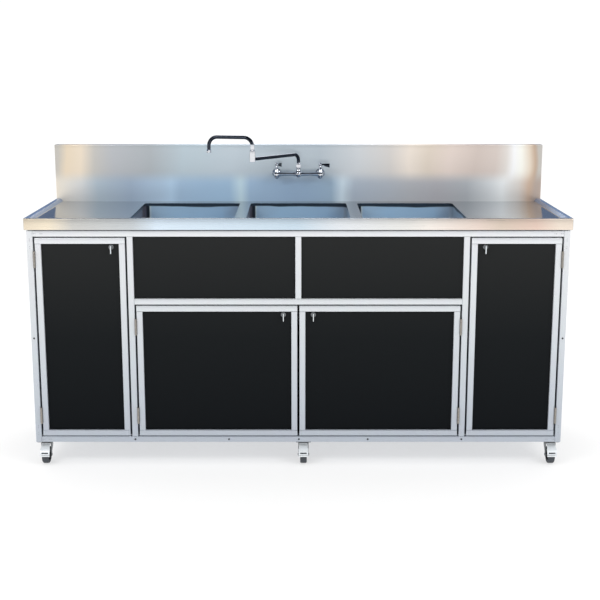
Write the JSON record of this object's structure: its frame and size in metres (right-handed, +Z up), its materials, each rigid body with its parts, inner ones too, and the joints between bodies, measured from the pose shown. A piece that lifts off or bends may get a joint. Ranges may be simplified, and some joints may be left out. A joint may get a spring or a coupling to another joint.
{
  "type": "three compartment sink",
  "caption": "Portable restaurant sink: stainless top with deep bowls and backsplash, swing faucet, and a wheeled aluminium-tube cabinet with black locking doors.",
  "frame": {"origin": "on the floor, under the middle of the sink top", "axes": "+Z up, +X to the user's right along the counter, -Y towards the user"},
  "size_m": [2.286, 0.737, 1.3978],
  "materials": {
    "stainless": "number 4 brushed stainless steel, fairly bright",
    "satin_aluminium": "satin clear anodised square tube",
    "black_panel": "fine-textured black panel",
    "chrome_plate": "polished chrome plate",
    "zinc_plate": "bright zinc plate",
    "grey_tread": "dark grey rubber tread",
    "white_pipe": "white plastic waste pipe",
    "tank_plastic": "translucent white blow-moulded tank",
    "white_enamel": "white enamelled steel case",
    "pump_black": "black plastic and painted motor"
  },
  "bodies": {
    "cabinet": {"sink_top": "stainless", "bowl_left": "stainless", "bowl_centre": "stainless", "bowl_right": "stainless", "strainer_left": "stainless", "strainer_centre": "stainless", "strainer_right": "stainless", "drain_manifold": "white_pipe", "faucet_body": "chrome_plate", "front_frame": "satin_aluminium", "rear_frame": "satin_aluminium", "floor_panel": "satin_aluminium", "back_panel": "black_panel", "side_panel_left": "black_panel", "side_panel_right": "black_panel", "fascia_left": "black_panel", "fascia_right": "black_panel", "fresh_water_tank": "tank_plastic", "waste_water_tank": "tank_plastic", "water_heater": "white_enamel", "water_pump": "pump_black", "hinge_left_upper": "zinc_plate", "hinge_left_lower": "zinc_plate", "hinge_centre_left_upper": "zinc_plate", "hinge_centre_left_lower": "zinc_plate", "hinge_centre_right_upper": "zinc_plate", "hinge_centre_right_lower": "zinc_plate", "hinge_right_upper": "zinc_plate", "hinge_right_lower": "zinc_plate"},
    "left_door": {"door_frame_left": "satin_aluminium", "door_panel_left": "black_panel"},
    "left_lock": {"lock_left": "zinc_plate"},
    "centre_left_door": {"door_frame_centre_left": "satin_aluminium", "door_panel_centre_left": "black_panel"},
    "centre_left_lock": {"lock_centre_left": "zinc_plate"},
    "centre_right_door": {"door_frame_centre_right": "satin_aluminium", "door_panel_centre_right": "black_panel"},
    "centre_right_lock": {"lock_centre_right": "zinc_plate"},
    "right_door": {"door_frame_right": "satin_aluminium", "door_panel_right": "black_panel"},
    "right_lock": {"lock_right": "zinc_plate"},
    "front_left_fork": {"caster_fork_front_left": "zinc_plate"},
    "front_left_wheel": {"caster_wheel_front_left": "grey_tread"},
    "front_left_pedal": {"brake_pedal_front_left": "chrome_plate"},
    "front_centre_fork": {"caster_fork_front_centre": "zinc_plate"},
    "front_centre_wheel": {"caster_wheel_front_centre": "grey_tread"},
    "front_centre_pedal": {"brake_pedal_front_centre": "chrome_plate"},
    "front_right_fork": {"caster_fork_front_right": "zinc_plate"},
    "front_right_wheel": {"caster_wheel_front_right": "grey_tread"},
    "front_right_pedal": {"brake_pedal_front_right": "chrome_plate"},
    "rear_left_fork": {"caster_fork_rear_left": "zinc_plate"},
    "rear_left_wheel": {"caster_wheel_rear_left": "grey_tread"},
    "rear_centre_fork": {"caster_fork_rear_centre": "zinc_plate"},
    "rear_centre_wheel": {"caster_wheel_rear_centre": "grey_tread"},
    "rear_right_fork": {"caster_fork_rear_right": "zinc_plate"},
    "rear_right_wheel": {"caster_wheel_rear_right": "grey_tread"},
    "hot_lever": {"lever_hot": "chrome_plate"},
    "cold_lever": {"lever_cold": "chrome_plate"},
    "inner_spout": {"spout_inner_arm": "chrome_plate"},
    "outer_spout": {"spout_outer_arm": "chrome_plate"}
  },
  "joints": [
    {"name": "left_door_hinge", "type": "hinge", "parent": "cabinet", "child": "left_door", "pos_m": [-1.10585, -0.362, 0.53], "axis": [0, 0, -1], "range_deg": [0, 110]},
    {"name": "left_lock_turn", "type": "hinge", "parent": "left_door", "child": "left_lock", "pos_m": [-0.7844, -0.3507, 0.9586], "axis": [0, 1, 0], "range_deg": [0, 90]},
    {"name": "centre_left_door_hinge", "type": "hinge", "parent": "cabinet", "child": "centre_left_door", "pos_m": [-0.68875, -0.362, 0.42], "axis": [0, 0, -1], "range_deg": [0, 110]},
    {"name": "centre_left_lock_turn", "type": "hinge", "parent": "centre_left_door", "child": "centre_left_lock", "pos_m": [-0.0635, -0.3507, 0.6687], "axis": [0, 1, 0], "range_deg": [0, 90]},
    {"name": "centre_right_door_hinge", "type": "hinge", "parent": "cabinet", "child": "centre_right_door", "pos_m": [0.68875, -0.362, 0.42], "axis": [0, 0, 1], "range_deg": [0, 110]},
    {"name": "centre_right_lock_turn", "type": "hinge", "parent": "centre_right_door", "child": "centre_right_lock", "pos_m": [0.0635, -0.3507, 0.6687], "axis": [0, -1, 0], "range_deg": [0, 90]},
    {"name": "right_door_hinge", "type": "hinge", "parent": "cabinet", "child": "right_door", "pos_m": [1.10585, -0.362, 0.53], "axis": [0, 0, 1], "range_deg": [0, 110]},
    {"name": "right_lock_turn", "type": "hinge", "parent": "right_door", "child": "right_lock", "pos_m": [0.7844, -0.3507, 0.9586], "axis": [0, -1, 0], "range_deg": [0, 90]},
    {"name": "front_left_swivel", "type": "hinge", "parent": "cabinet", "child": "front_left_fork", "pos_m": [-1.1, -0.2985, 0.1017], "axis": [0, 0, 1], "continuous": true},
    {"name": "front_left_roll", "type": "hinge", "parent": "front_left_fork", "child": "front_left_wheel", "pos_m": [-1.1, -0.3225, 0.0381], "axis": [1, 0, 0], "continuous": true},
    {"name": "front_left_brake", "type": "hinge", "parent": "front_left_fork", "child": "front_left_pedal", "pos_m": [-1.1, -0.3264, 0.0878], "axis": [1, 0, 0], "range_deg": [0, 5]},
    {"name": "front_centre_swivel", "type": "hinge", "parent": "cabinet", "child": "front_centre_fork", "pos_m": [0.022, -0.2985, 0.1017], "axis": [0, 0, 1], "continuous": true},
    {"name": "front_centre_roll", "type": "hinge", "parent": "front_centre_fork", "child": "front_centre_wheel", "pos_m": [0.022, -0.3225, 0.0381], "axis": [1, 0, 0], "continuous": true},
    {"name": "front_centre_brake", "type": "hinge", "parent": "front_centre_fork", "child": "front_centre_pedal", "pos_m": [0.022, -0.3264, 0.0878], "axis": [1, 0, 0], "range_deg": [0, 5]},
    {"name": "front_right_swivel", "type": "hinge", "parent": "cabinet", "child": "front_right_fork", "pos_m": [1.1, -0.2985, 0.1017], "axis": [0, 0, 1], "continuous": true},
    {"name": "front_right_roll", "type": "hinge", "parent": "front_right_fork", "child": "front_right_wheel", "pos_m": [1.1, -0.3225, 0.0381], "axis": [1, 0, 0], "continuous": true},
    {"name": "front_right_brake", "type": "hinge", "parent": "front_right_fork", "child": "front_right_pedal", "pos_m": [1.1, -0.3264, 0.0878], "axis": [1, 0, 0], "range_deg": [0, 5]},
    {"name": "rear_left_swivel", "type": "hinge", "parent": "cabinet", "child": "rear_left_fork", "pos_m": [-1.1, 0.3025, 0.1017], "axis": [0, 0, 1], "continuous": true},
    {"name": "rear_left_roll", "type": "hinge", "parent": "rear_left_fork", "child": "rear_left_wheel", "pos_m": [-1.1, 0.2785, 0.0381], "axis": [1, 0, 0], "continuous": true},
    {"name": "rear_centre_swivel", "type": "hinge", "parent": "cabinet", "child": "rear_centre_fork", "pos_m": [0.022, 0.3025, 0.1017], "axis": [0, 0, 1], "continuous": true},
    {"name": "rear_centre_roll", "type": "hinge", "parent": "rear_centre_fork", "child": "rear_centre_wheel", "pos_m": [0.022, 0.2785, 0.0381], "axis": [1, 0, 0], "continuous": true},
    {"name": "rear_right_swivel", "type": "hinge", "parent": "cabinet", "child": "rear_right_fork", "pos_m": [1.1, 0.3025, 0.1017], "axis": [0, 0, 1], "continuous": true},
    {"name": "rear_right_roll", "type": "hinge", "parent": "rear_right_fork", "child": "rear_right_wheel", "pos_m": [1.1, 0.2785, 0.0381], "axis": [1, 0, 0], "continuous": true},
    {"name": "hot_valve_turn", "type": "hinge", "parent": "cabinet", "child": "hot_lever", "pos_m": [-0.1016, 0.2575, 1.2393], "axis": [0, 0, 1], "range_deg": [-90, 0]},
    {"name": "cold_valve_turn", "type": "hinge", "parent": "cabinet", "child": "cold_lever", "pos_m": [0.1016, 0.2575, 1.2393], "axis": [0, 0, 1], "range_deg": [-90, 0]},
    {"name": "spout_inner_swivel", "type": "hinge", "parent": "cabinet", "child": "inner_spout", "pos_m": [0, 0.2575, 1.2503], "axis": [0, 0, 1], "range_deg": [-20, 95]},
    {"name": "spout_outer_swivel", "type": "hinge", "parent": "inner_spout", "child": "outer_spout", "pos_m": [-0.20317, -0.00254, 1.3313], "axis": [0, 0, 1], "continuous": true}
  ]
}
